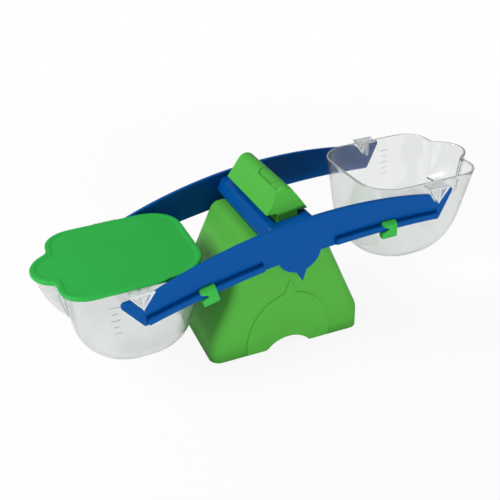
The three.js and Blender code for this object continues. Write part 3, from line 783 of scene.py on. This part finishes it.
def bar_bottom(x):
    """Height of the bar's bottom arc."""
    return -BAR_BOTTOM - BAR_BOTTOM_RADIUS + np.sqrt(BAR_BOTTOM_RADIUS ** 2 - x ** 2)


def rail(x, rise):
    """Height of an arc that runs parallel to the rail's lower edge, rise above it."""
    return -RAIL_DROP - BAR_BOTTOM_RADIUS + np.sqrt((BAR_BOTTOM_RADIUS + rise) ** 2 - x ** 2)


def bar_outline(grooved):
    """Pointer, boss, bottom arc, notched end with its horn, and top arc. With grooved, the stretch
    over the rail is cut off along the groove's upper edge."""
    start = math.asin(POINTER_HALF / BOSS_RADIUS)
    end = math.acos((BAR_BOTTOM - BOSS_DROP) / BOSS_RADIUS)
    angle = np.linspace(start, end, 20)
    boss = np.column_stack([BOSS_RADIUS * np.sin(angle), -BOSS_DROP - BOSS_RADIUS * np.cos(angle)])
    if grooved:
        near = np.linspace(boss[-1, 0], RAIL_START, 6)[1:]
        over = np.linspace(RAIL_START, RAIL_END, 36)
        bottom = np.concatenate([
            np.column_stack([near, bar_bottom(near)]),
            np.column_stack([over, rail(over, RAIL_HEIGHT + GROOVE_HEIGHT)]),
            [[RAIL_END, bar_bottom(RAIL_END)]],
        ])
    else:
        x = np.linspace(boss[-1, 0], RAIL_END, 40)[1:]
        bottom = np.column_stack([x, bar_bottom(x)])
    tip = rounded([
        (RAIL_END, bar_bottom(RAIL_END), 0),
        (FOOT_REACH, bar_bottom(FOOT_REACH), FOOT_RADIUS),
        HORN_SIDE,
        HORN_TOP,
        (LUG_REACH + NOTCH_HALF, HORN_TOP[1], HORN_INNER_RADIUS),
        (LUG_REACH + NOTCH_FLARE, NOTCH_FLARE - LUG_DROP, 0),
        (LUG_REACH, -LUG_DROP, 0),
        (LUG_REACH - NOTCH_FLARE, NOTCH_FLARE - LUG_DROP, 0),
        (LUG_REACH - NOTCH_HALF, -NOTCH_CORNER_DROP, NOTCH_CORNER_RADIUS),
        (TOP_END, bar_top(TOP_END), 0),
    ])[1:]
    x = np.linspace(TOP_END, 0, 40)[1:]
    top = np.column_stack([x, bar_top(x)])
    return mirrored(np.concatenate([[[0, -POINTER_TIP]], boss, bottom, tip, top]))


def rail_band(low, high, steps=40):
    """Outline between two arcs along the rail."""
    x = np.linspace(RAIL_START, RAIL_END, steps)
    return np.concatenate([np.column_stack([x, low(x)]), np.column_stack([x, high(x)])[::-1]])


def bar_parts(settings):
    """Front bar in the pivot's frame: a full plate, an outer layer cut off at the groove, a rail
    with the strip under it on each half, and a raised hub."""
    outer = -BAR_INNER_FACE - settings.thickness
    layer = outer + GROOVE_DEPTH
    parts = [
        slab(bar_outline(False), layer, -BAR_INNER_FACE, 0, settings.edge),
        slab(bar_outline(True), outer, layer, settings.edge, 0),
    ]
    bead = rail_band(lambda x: rail(x, 0), lambda x: rail(x, RAIL_HEIGHT))
    strip = rail_band(bar_bottom, lambda x: rail(x, STRIP_RISE))
    for side, face, edge in ((bead, outer - RAIL_DEPTH, RAIL_EDGE), (strip, outer, STRIP_EDGE)):
        parts.append(slab(side, face, layer + BAR_LAP, edge, 0))
        parts.append(slab((side * (-1, 1))[::-1], face, layer + BAR_LAP, edge, 0))
    x = np.linspace(-HUB_HALF, HUB_HALF, 24)
    hub = np.concatenate([
        np.column_stack([x, bar_bottom(x) + HUB_MARGIN]),
        np.column_stack([x, bar_top(x) - HUB_MARGIN])[::-1],
    ])
    parts.append(slab(hub, outer - HUB_RAISE, outer + BAR_LAP, HUB_EDGE, 0))
    return parts


def slider_parts():
    """Slider round the rail, in the frame of the rail's lower edge: level sections whose left,
    front and rear edges follow the height, with a V-notch on the left and a sloping brow, and a
    tongue in the groove above the rail."""
    sections = [
        lying(oblong(left, SLIDER_RIGHT, front, rear, SLIDER_EDGE), height)
        for height, left, front, rear in SLIDER_SECTIONS
    ]
    front, rear = -SLIDER_PLAY - TONGUE_LAP, GROOVE_DEPTH - SLIDER_PLAY
    tongue = oblong(TONGUE_LEFT, TONGUE_RIGHT, front, rear)
    low, high = RAIL_HEIGHT + SLIDER_PLAY, RAIL_HEIGHT + GROOVE_HEIGHT - SLIDER_PLAY
    return [skin(np.stack(sections)), block(tongue, low, high, TONGUE_EDGE, TONGUE_EDGE)]


def bridge_outline():
    """Saddle outline from the right foot over the top to the left foot, with the window's edges
    among its points."""
    return mirrored(rounded([
        (BRIDGE_FOOT_HALF, BRIDGE_FOOT, 0),
        (BRIDGE_HALF, BRIDGE_WAIST, BRIDGE_WAIST_RADIUS),
        (BRIDGE_TOP_HALF, BRIDGE_TOP, BRIDGE_TOP_RADIUS),
        (WINDOW_HALF, BRIDGE_TOP, 0),
    ]))


def bridge_parts():
    """Saddle skin over four stations along Y, without the window's face, and a wall at each end."""
    edge = bridge_outline()
    places = (BRIDGE_REACH, WINDOW_REACH, -WINDOW_REACH, -BRIDGE_REACH)
    points, faces = skin(np.stack([standing(edge, y) for y in places]), closed=False, ends=False)
    size = len(edge)
    window = (size - 1) + size // 2 - 1
    saddle = points, [np.delete(faces[0], window, 0)]
    inner = -BRIDGE_REACH + BRIDGE_END_WALL
    ends = [slab(set_in(edge, BRIDGE_END_INSET), -BRIDGE_REACH, inner, BRIDGE_END_EDGE, 0)]
    return [saddle], ends + turned(ends, about=True)


def filleted(outline, count=240, reach=4):
    """Closed outline respaced evenly along its length, each point then the weighted mean of its
    neighbours within reach, which fillets the creases beside the spout and leaves wide curves."""
    closed = np.concatenate([outline, outline[:1]])
    along = np.concatenate([[0], np.cumsum(np.linalg.norm(np.diff(closed, axis=0), axis=1))])
    place = np.linspace(0, along[-1], count, endpoint=False)
    even = np.stack([np.interp(place, along, closed[:, axis]) for axis in (0, 1)])
    weights = np.bartlett(2 * reach + 3)[1:-1]
    weights = weights / weights.sum()
    wrapped = np.concatenate([even[:, -reach:], even, even[:, :reach]], 1)
    return np.column_stack([np.convolve(row, weights, "valid") for row in wrapped])


def bucket_ring(inset, spout, height, steps=14):
    """Plan of the bucket at an inset from the rim: the spout's lobe x = outer + spout cos^p and
    y = lobe sin^p, then the outer corner, the side, the inner corner, and its mirror image."""
    half_width = HALF_WIDTH - inset
    inner = INNER_REACH - inset
    depth = max(0.0, RIM_RISE - height)
    outer = OUTER_REACH - inset - depth * LEAN
    growth = CORNER_GROWTH * depth - inset
    largest = ROUND_SHARE * min(half_width, (inner + outer) / 2)
    outer_corner = min(OUTER_CORNER + growth, largest)
    inner_corner = min(INNER_CORNER + growth, largest)
    flat = half_width - outer_corner
    lobe = min(max(SPOUT_HALF - inset, flat / 2), ROUND_SHARE * flat)
    angle = np.linspace(0, np.pi / 2, 2 * steps + 1)
    nose = np.column_stack([
        outer + spout * np.maximum(0, np.cos(angle)) ** SPOUT_POWER,
        lobe * np.sin(angle) ** SPOUT_POWER,
    ])
    rest = rounded([
        (outer, 0, 0),
        (outer, half_width, outer_corner),
        (-inner, half_width, inner_corner),
        (-inner, 0, 0),
    ], steps)[1:]
    half = np.concatenate([nose, rest])
    return lying(filleted(np.concatenate([half, half[1:-1][::-1] * (1, -1)])), height)


def bucket_side(skin_depth, settings, steps=14):
    """Rings of one side of the wall from the bottom to the rim: a quarter ellipse round the bottom,
    then the drafted wall, out of which the spout swells as a quarter ellipse of its own."""
    wall_depth = settings.depth - BOTTOM_HEIGHT
    turn = np.linspace(np.pi / 2, 0, steps + 1)
    low = [
        bucket_ring(
            skin_depth + wall_depth * DRAFT + (BOTTOM_REACH - skin_depth) * (1 - math.cos(angle)),
            0.0,
            RIM_RISE - wall_depth - (BOTTOM_HEIGHT - skin_depth) * math.sin(angle),
        )
        for angle in turn
    ]
    down = SPOUT_DEPTH * np.cos(turn[::-1])
    reach = SPOUT_REACH * np.sin(turn[::-1])
    lip = settings.wall / 2
    high = [
        bucket_ring(skin_depth + drop * DRAFT, spout, min(RIM_RISE - drop, RIM_RISE - lip))
        for drop, spout in zip(down, reach)
    ]
    return low + high


def bucket_shell(settings):
    """Whole wall as one skin: up the outside, over the half-round rim, and down the inside."""
    lip = settings.wall / 2
    turn = np.linspace(0, np.pi, 9)[1:-1]
    rim = [
        bucket_ring(lip - lip * math.cos(a), SPOUT_REACH, RIM_RISE - lip + lip * math.sin(a))
        for a in turn
    ]
    rings = bucket_side(0.0, settings) + rim + bucket_side(settings.wall, settings)[::-1]
    return skin(np.stack(rings))


def lug_parts():
    """Hanging lug on the +Y side: a knife blade in the notch, a flat plate over it and a triangular
    web outside with a cross rib behind it, and apart from these the ribs that frame it, whose
    whiter, less clear finish is a painted highlight."""
    root = HALF_WIDTH - LUG_SINK
    blade_top = LUG_PLATE_LOW + BLADE_LAP
    blade = np.array([
        (0, BLADE_EDGE), (BLADE_HALF, BLADE_SHOULDER), (BLADE_HALF, blade_top),
        (-BLADE_HALF, blade_top), (-BLADE_HALF, BLADE_SHOULDER),
    ])
    plate = oblong(-LUG_PLATE_HALF, LUG_PLATE_HALF, root, FLANGE_OUTER)
    triangle = np.array([
        (0, FLANGE_FOOT), (FLANGE_HALF, LUG_PLATE_HIGH), (-FLANGE_HALF, LUG_PLATE_HIGH),
    ])
    across = oblong(-CROSS_HALF, CROSS_HALF, root + CROSS_START, FLANGE_INNER)
    cross_low, cross_high = LUG_PLATE_HIGH - CROSS_SINK, LUG_PLATE_HIGH + CROSS_RISE
    parts = [
        slab(blade, root, FLANGE_OUTER - LUG_EDGE, 0, LUG_EDGE),
        block(plate, LUG_PLATE_LOW, LUG_PLATE_HIGH, *LUG_PLATE_EDGES),
        slab(triangle, FLANGE_INNER, FLANGE_INNER + FLANGE_WEB, FLANGE_EDGE, FLANGE_EDGE),
        block(across, cross_low, cross_high, 0, LUG_EDGE),
    ]
    start = FLANGE_INNER + FRAME_START
    inside = set_in(triangle, FRAME_WIDTH)
    ribs = []
    for place in range(3):
        after = (place + 1) % 3
        frame_side = np.array([triangle[place], triangle[after], inside[after], inside[place]])
        ribs.append(slab(frame_side, start, FLANGE_OUTER, 0, FRAME_EDGE))
    rib = oblong(-RIB_HALF, RIB_HALF, FLANGE_FOOT + RIB_FOOT, LUG_PLATE_HIGH - RIB_HEAD)
    ribs.append(slab(rib, start, FLANGE_OUTER, 0, LUG_EDGE))
    return parts, ribs


def graduation_parts():
    """Moulded level marks on the +Y wall: short raised bars that follow the wall's draft, every
    second one longer."""
    parts = []
    for place in range(MARK_COUNT):
        drop = MARK_FIRST + MARK_STEP * place
        half = MARK_SHORT if place % 2 else MARK_LONG
        low, high = RIM_RISE - drop - MARK_HALF, RIM_RISE - drop + MARK_HALF
        bar = oblong(MARK_PLACE - half, MARK_PLACE + half, low, high, MARK_CORNER)
        face = HALF_WIDTH - drop * DRAFT
        parts.append(slab(bar, face - MARK_SINK, face + MARK_RAISE, 0, MARK_EDGE))
    return parts


def lid_shell(wall):
    """Lid as one skin from the middle of its underside, round the plug, the skirt and the bead, to
    its flat top."""
    top = LID_UNDER + LID_THICKNESS
    bead = top + LID_BEAD
    plug = wall + LID_FIT
    plug_low = LID_UNDER - PLUG_DEPTH
    plug_foot = plug + PLUG_DEPTH * DRAFT
    plug_spout = SPOUT_REACH - LID_FIT
    skirt = -LID_FIT - LID_SKIRT
    skirt_low = RIM_RISE - LID_SKIRT_DROP
    slope = skirt + LID_BEAD_WIDTH
    under = [
        (plug_foot + 2 * PLUG_WALL + PLUG_FLAT, LID_UNDER),
        (plug_foot + 2 * PLUG_WALL, LID_UNDER),
        (plug_foot + PLUG_WALL, plug_low),
        (plug_foot, plug_low),
        (plug, LID_UNDER),
    ]
    over = rounded([
        (-LID_FIT, LID_UNDER, 0),
        (-LID_FIT, skirt_low, LID_SKIRT_RADII[0]),
        (skirt, skirt_low, LID_SKIRT_RADII[1]),
        (skirt, bead, LID_EDGE_RADIUS),
        (slope, bead, LID_BEAD_RADIUS),
        (slope + LID_BEAD_SLOPE, top, LID_BEAD_RADIUS),
        (slope + 2 * LID_BEAD_SLOPE, top, 0),
    ], 5)
    rings = [bucket_ring(inset, plug_spout, z) for inset, z in under]
    rings += [bucket_ring(inset, SPOUT_REACH, z) for inset, z in over]
    return skin(np.stack(rings))


class BALANCE_OT_base(bpy.types.Operator):
    """Moulds the hollow base with its tower and raised panel"""

    bl_idname = "balance.base"
    bl_label = "Base"

    def execute(self, context):
        settings = context.scene.balance_base
        green = moulded("Moulded green ABS", settings.green)
        outside = [base_skin(settings)]
        body = piece("base_body", outside, green, "base", ("base_shell",))
        walled(body, settings.wall)
        piece("base_panel", [index_panel(-settings.half_depth)], green, "base")
        piece("base_tower", tower_walls(settings.height), green, "base")
        return {"FINISHED"}


class BALANCE_OT_cap(bpy.types.Operator):
    """Rounds the roof-shaped cap and its latch, bows the front hip and adds the tab"""

    bl_idname = "balance.cap"
    bl_label = "Roof cap"

    def execute(self, context):
        settings = context.scene.balance_base
        green = moulded("Moulded bright green ABS", settings.cap_green)
        softened("roof_cap", "top_cap", green, "cap", CAP_EDGE, hipped=True)
        softened("roof_latch", "cap_latch", green, "latch", LATCH_EDGE)
        piece("roof_tab", [cap_tab()], green, "cap")
        return {"FINISHED"}


class BALANCE_OT_beam(bpy.types.Operator):
    """Moulds the two bars and the bridge between them"""

    bl_idname = "balance.beam"
    bl_label = "Beam"

    def execute(self, context):
        settings = context.scene.balance_beam
        blue = moulded("Moulded blue ABS", settings.blue)
        parts = bar_parts(settings)
        for node, half in (("front_bar", False), ("rear_bar", True)):
            placed = turned(parts, BEAM_TILT, PIVOT, half)
            piece("beam_" + node, placed, blue, "beam", (node,))
        saddle, ends = (turned(group, BEAM_TILT, PIVOT) for group in bridge_parts())
        bridge = piece("beam_saddle", saddle, blue, "beam", ("beam_bridge",))
        walled(bridge, BRIDGE_WALL)
        piece("beam_saddle_ends", ends, blue, "beam")
        return {"FINISHED"}


class BALANCE_OT_sliders(bpy.types.Operator):
    """Moulds the two zero-setting sliders"""

    bl_idname = "balance.sliders"
    bl_label = "Sliders"

    def execute(self, context):
        settings = context.scene.balance_beam
        green = moulded("Moulded green polypropylene", settings.slider_green)
        outer = -BAR_INNER_FACE - settings.thickness
        for name, along in SLIDER_PLACES.items():
            lean = math.asin(along / BAR_BOTTOM_RADIUS)
            on_bar = turned(slider_parts(), lean, (along, outer, rail(along, 0)))
            placed = turned(on_bar, BEAM_TILT, PIVOT)
            piece(name + "_clip", placed, green, name, (name,))
        return {"FINISHED"}


class BALANCE_OT_buckets(bpy.types.Operator):
    """Moulds the two clear buckets with their lugs and level marks"""

    bl_idname = "balance.buckets"
    bl_label = "Buckets"

    def execute(self, context):
        settings = context.scene.balance_bucket
        tint = settings.clear
        clear = clear_polystyrene("Moulded clear polystyrene", tint, clearness=0.985, lip=0.55)
        textured = clear_polystyrene("Textured clear polystyrene", tint, clearness=0.8)
        # Painted highlight: the frame ribs' low clearness whitens them in place of light caught on
        # their edges
        highlit_clear = clear_polystyrene("Clear polystyrene whitened as painted highlight", tint, clearness=0.4)
        shell = bucket_shell(settings)
        # The rim's points, whose lower clearness paints a highlight along the rim
        lip = shell[0][:, 2] > RIM_RISE - settings.wall / 2 + LIP_MARGIN
        lugs, ribs = lug_parts()
        lugs += turned(lugs, about=True) + graduation_parts()
        ribs += turned(ribs, about=True)
        kinds = (("_shell", [shell], clear), ("_lugs", lugs, textured), ("_ribs", ribs, highlit_clear))
        for name, place, half in (
            ("left_bucket", LEFT_LUG, True),
            ("right_bucket", RIGHT_LUG, False),
        ):
            for kind, parts, finish in kinds:
                placed = turned(parts, HANG_TILT, place, half)
                nodes = (name,) if kind == "_shell" else ()
                thing = piece(
                    name + kind, placed, finish, name, nodes, SOFT_CREASE
                )
                if nodes:
                    mark = thing.data.attributes.new("lip", "FLOAT", "POINT")
                    mark.data.foreach_set("value", lip.astype("f"))
        return {"FINISHED"}


class BALANCE_OT_lid(bpy.types.Operator):
    """Moulds the lid on the left bucket"""

    bl_idname = "balance.lid"
    bl_label = "Lid"

    def execute(self, context):
        settings = context.scene.balance_bucket
        green = moulded("Moulded bright green polypropylene", settings.lid_green)
        placed = turned([lid_shell(settings.wall)], HANG_TILT, LEFT_LUG, about=True)
        piece("lid_cover", placed, green, "lid", ("bucket_lid",))
        return {"FINISHED"}


class BALANCE_OT_hardware(bpy.types.Operator):
    """Finishes the bearings, the axle and the screws"""

    bl_idname = "balance.hardware"
    bl_label = "Bearings, axle and screws"

    def execute(self, context):
        acetal = moulded("Moulded white acetal", linear("#E9E9E4"))
        steel = zinc_plated_steel()
        finishes = {"bearing": acetal, "axle": steel, "screw": steel}
        for name, node in frame["nodes"].items():
            kind = name.split("_")[-1]
            if kind in finishes:
                node.data.materials.clear()
                node.data.materials.append(finishes[kind])
        return {"FINISHED"}


class BALANCE_OT_stage(bpy.types.Operator):
    """Sets up the floor, the light and the camera"""

    bl_idname = "balance.stage"
    bl_label = "Stage"

    def execute(self, context):
        scene = context.scene
        settings = scene.balance_stage
        scene.view_settings.view_transform = "Standard"
        self.floor(scene, settings)
        self.world(scene, settings)
        self.lamps(scene, settings)
        self.camera(scene)
        return {"FINISHED"}

    def seen(self, tree):
        """1 for rays that show the background: from the camera or through clear plastic."""
        path = add(tree, "ShaderNodeLightPath")
        both = add(
            tree, "ShaderNodeMath",
            {0: path.outputs["Is Camera Ray"], 1: path.outputs["Is Transmission Ray"]},
            operation="MAXIMUM",
        )
        return both.outputs[0]

    def floor(self, scene, settings):
        """Paper-white floor: a tenth of its own lit colour near the object, which keeps the shadow,
        and the rest plain white, which takes over further out, so that no horizon shows."""
        material, tree, output, where = new_material("White studio paper")
        lit = add(tree, "ShaderNodeBsdfDiffuse", {"Color": settings.floor})
        white = add(tree, "ShaderNodeEmission", {"Color": WHITE, "Strength": 1.0})
        away = add(tree, "ShaderNodeVectorMath", {0: where}, operation="LENGTH")
        plain = add(
            tree, "ShaderNodeMapRange",
            {**FLOOR_FADE, "Value": away.outputs["Value"], "To Min": FLOOR_PLAIN, "To Max": 1.0},
        )
        share = add(
            tree, "ShaderNodeMath",
            {0: self.seen(tree), 1: plain.outputs["Result"]},
            operation="MULTIPLY",
        )
        both = add(
            tree, "ShaderNodeMixShader",
            {0: share.outputs[0], 1: lit.outputs[0], 2: white.outputs[0]},
        )
        tree.links.new(both.outputs[0], output.inputs["Surface"])
        sheet = oblong(-FLOOR_REACH, FLOOR_REACH, -FLOOR_REACH, FLOOR_REACH)
        mesh = bpy.data.meshes.new("studio_floor")
        mesh.from_pydata(lying(sheet, FLOOR_HEIGHT).tolist(), [], [(0, 1, 2, 3)])
        mesh.materials.append(material)
        thing = bpy.data.objects.new("studio_floor", mesh)
        scene.collection.objects.link(thing)

    def world(self, scene, settings):
        """Even white light from all round, plain white where the background shows."""
        world = bpy.data.worlds.new("Studio light")
        scene.world = world
        world.use_nodes = True
        tree = world.node_tree
        tree.nodes.clear()
        output = add(tree, "ShaderNodeOutputWorld")
        even = add(tree, "ShaderNodeBackground", {"Color": WHITE, "Strength": settings.fill})
        white = add(tree, "ShaderNodeBackground", {"Color": WHITE, "Strength": 1.0})
        both = add(
            tree, "ShaderNodeMixShader",
            {0: self.seen(tree), 1: even.outputs[0], 2: white.outputs[0]},
        )
        tree.links.new(both.outputs[0], output.inputs["Surface"])

    def lamps(self, scene, settings):
        """A soft lamp above, to the left and a little behind, which also shows in the gloss, and a
        low strip lamp in front, which doesn't. Neither shows through clear plastic."""
        for name, power, size, place, glossy in (
            ("Key softbox", settings.key, KEY_SIZE, KEY_PLACE, True),
            ("Front strip", settings.front, STRIP_SIZE, STRIP_PLACE, False),
        ):
            lamp = bpy.data.lights.new(name, "AREA")
            lamp.energy = power
            lamp.shape = "RECTANGLE"
            lamp.size, lamp.size_y = size
            thing = bpy.data.objects.new(name, lamp)
            thing.visible_camera = False
            thing.visible_glossy = glossy
            thing.visible_transmission = False
            scene.collection.objects.link(thing)
            back = np.subtract(place, LAMP_TARGET)
            back = back / np.linalg.norm(back)
            side = np.cross([0.0, 0.0, 1.0], back)
            side = side / np.linalg.norm(side)
            set_axes(thing, side, np.cross(back, side), back, place)

    def camera(self, scene):
        """Camera at the photograph's place, its focal length as a share of the image's width."""
        yaw, pitch, roll = np.radians(CAMERA_ANGLES)
        ahead = np.array([
            np.sin(yaw) * np.cos(pitch), np.cos(yaw) * np.cos(pitch), -np.sin(pitch),
        ])
        level = np.array([np.cos(yaw), -np.sin(yaw), 0.0])
        upright = np.cross(level, ahead)
        right = np.cos(roll) * level + np.sin(roll) * upright
        up = np.cos(roll) * upright - np.sin(roll) * level
        lens = bpy.data.cameras.new("Camera")
        lens.sensor_width = SENSOR_WIDTH
        lens.lens = FOCAL_SHARE * SENSOR_WIDTH
        lens.clip_start = 0.01
        thing = bpy.data.objects.new("Camera", lens)
        set_axes(thing, right, up, -ahead, CAMERA_PLACE)
        scene.collection.objects.link(thing)
        scene.camera = thing


def set_axes(thing, right, up, back, place):
    """Sets an object's X, Y and Z axes and its place."""
    matrix = np.eye(4)
    matrix[:3] = np.column_stack([right, up, back, place])
    thing.matrix_world = Matrix(matrix.tolist())


STEPS = (
    BALANCE_OT_stage,
    BALANCE_OT_base,
    BALANCE_OT_cap,
    BALANCE_OT_beam,
    BALANCE_OT_sliders,
    BALANCE_OT_buckets,
    BALANCE_OT_lid,
    BALANCE_OT_hardware,
)


class BALANCE_PT_panel(bpy.types.Panel):
    """Lists the settings and the pieces of the balance"""

    bl_idname = "BALANCE_PT_panel"
    bl_label = "Bucket Balance"
    bl_space_type = "VIEW_3D"
    bl_region_type = "UI"
    bl_category = "Balance"

    def draw(self, context):
        for name in SETTINGS:
            group = getattr(context.scene, name)
            for entry in group.bl_rna.properties:
                if entry.identifier not in ("rna_type", "name"):
                    self.layout.prop(group, entry.identifier)
        for step in STEPS:
            self.layout.operator(step.bl_idname)


SETTINGS = {
    "balance_base": BaseSettings,
    "balance_beam": BeamSettings,
    "balance_bucket": BucketSettings,
    "balance_stage": StageSettings,
}


def register():
    for name, group in SETTINGS.items():
        bpy.utils.register_class(group)
        setattr(bpy.types.Scene, name, bpy.props.PointerProperty(type=group))
    for item in (*STEPS, BALANCE_PT_panel):
        bpy.utils.register_class(item)


def unregister():
    for item in (BALANCE_PT_panel, *reversed(STEPS)):
        bpy.utils.unregister_class(item)
    for name, group in reversed(SETTINGS.items()):
        delattr(bpy.types.Scene, name)
        bpy.utils.unregister_class(group)


def main():
    register()
    bpy.ops.balance.stage()
    bpy.ops.balance.base()
    bpy.ops.balance.cap()
    bpy.ops.balance.beam()
    bpy.ops.balance.sliders()
    bpy.ops.balance.buckets()
    bpy.ops.balance.lid()
    bpy.ops.balance.hardware()


if __name__ == "__main__":
    main()
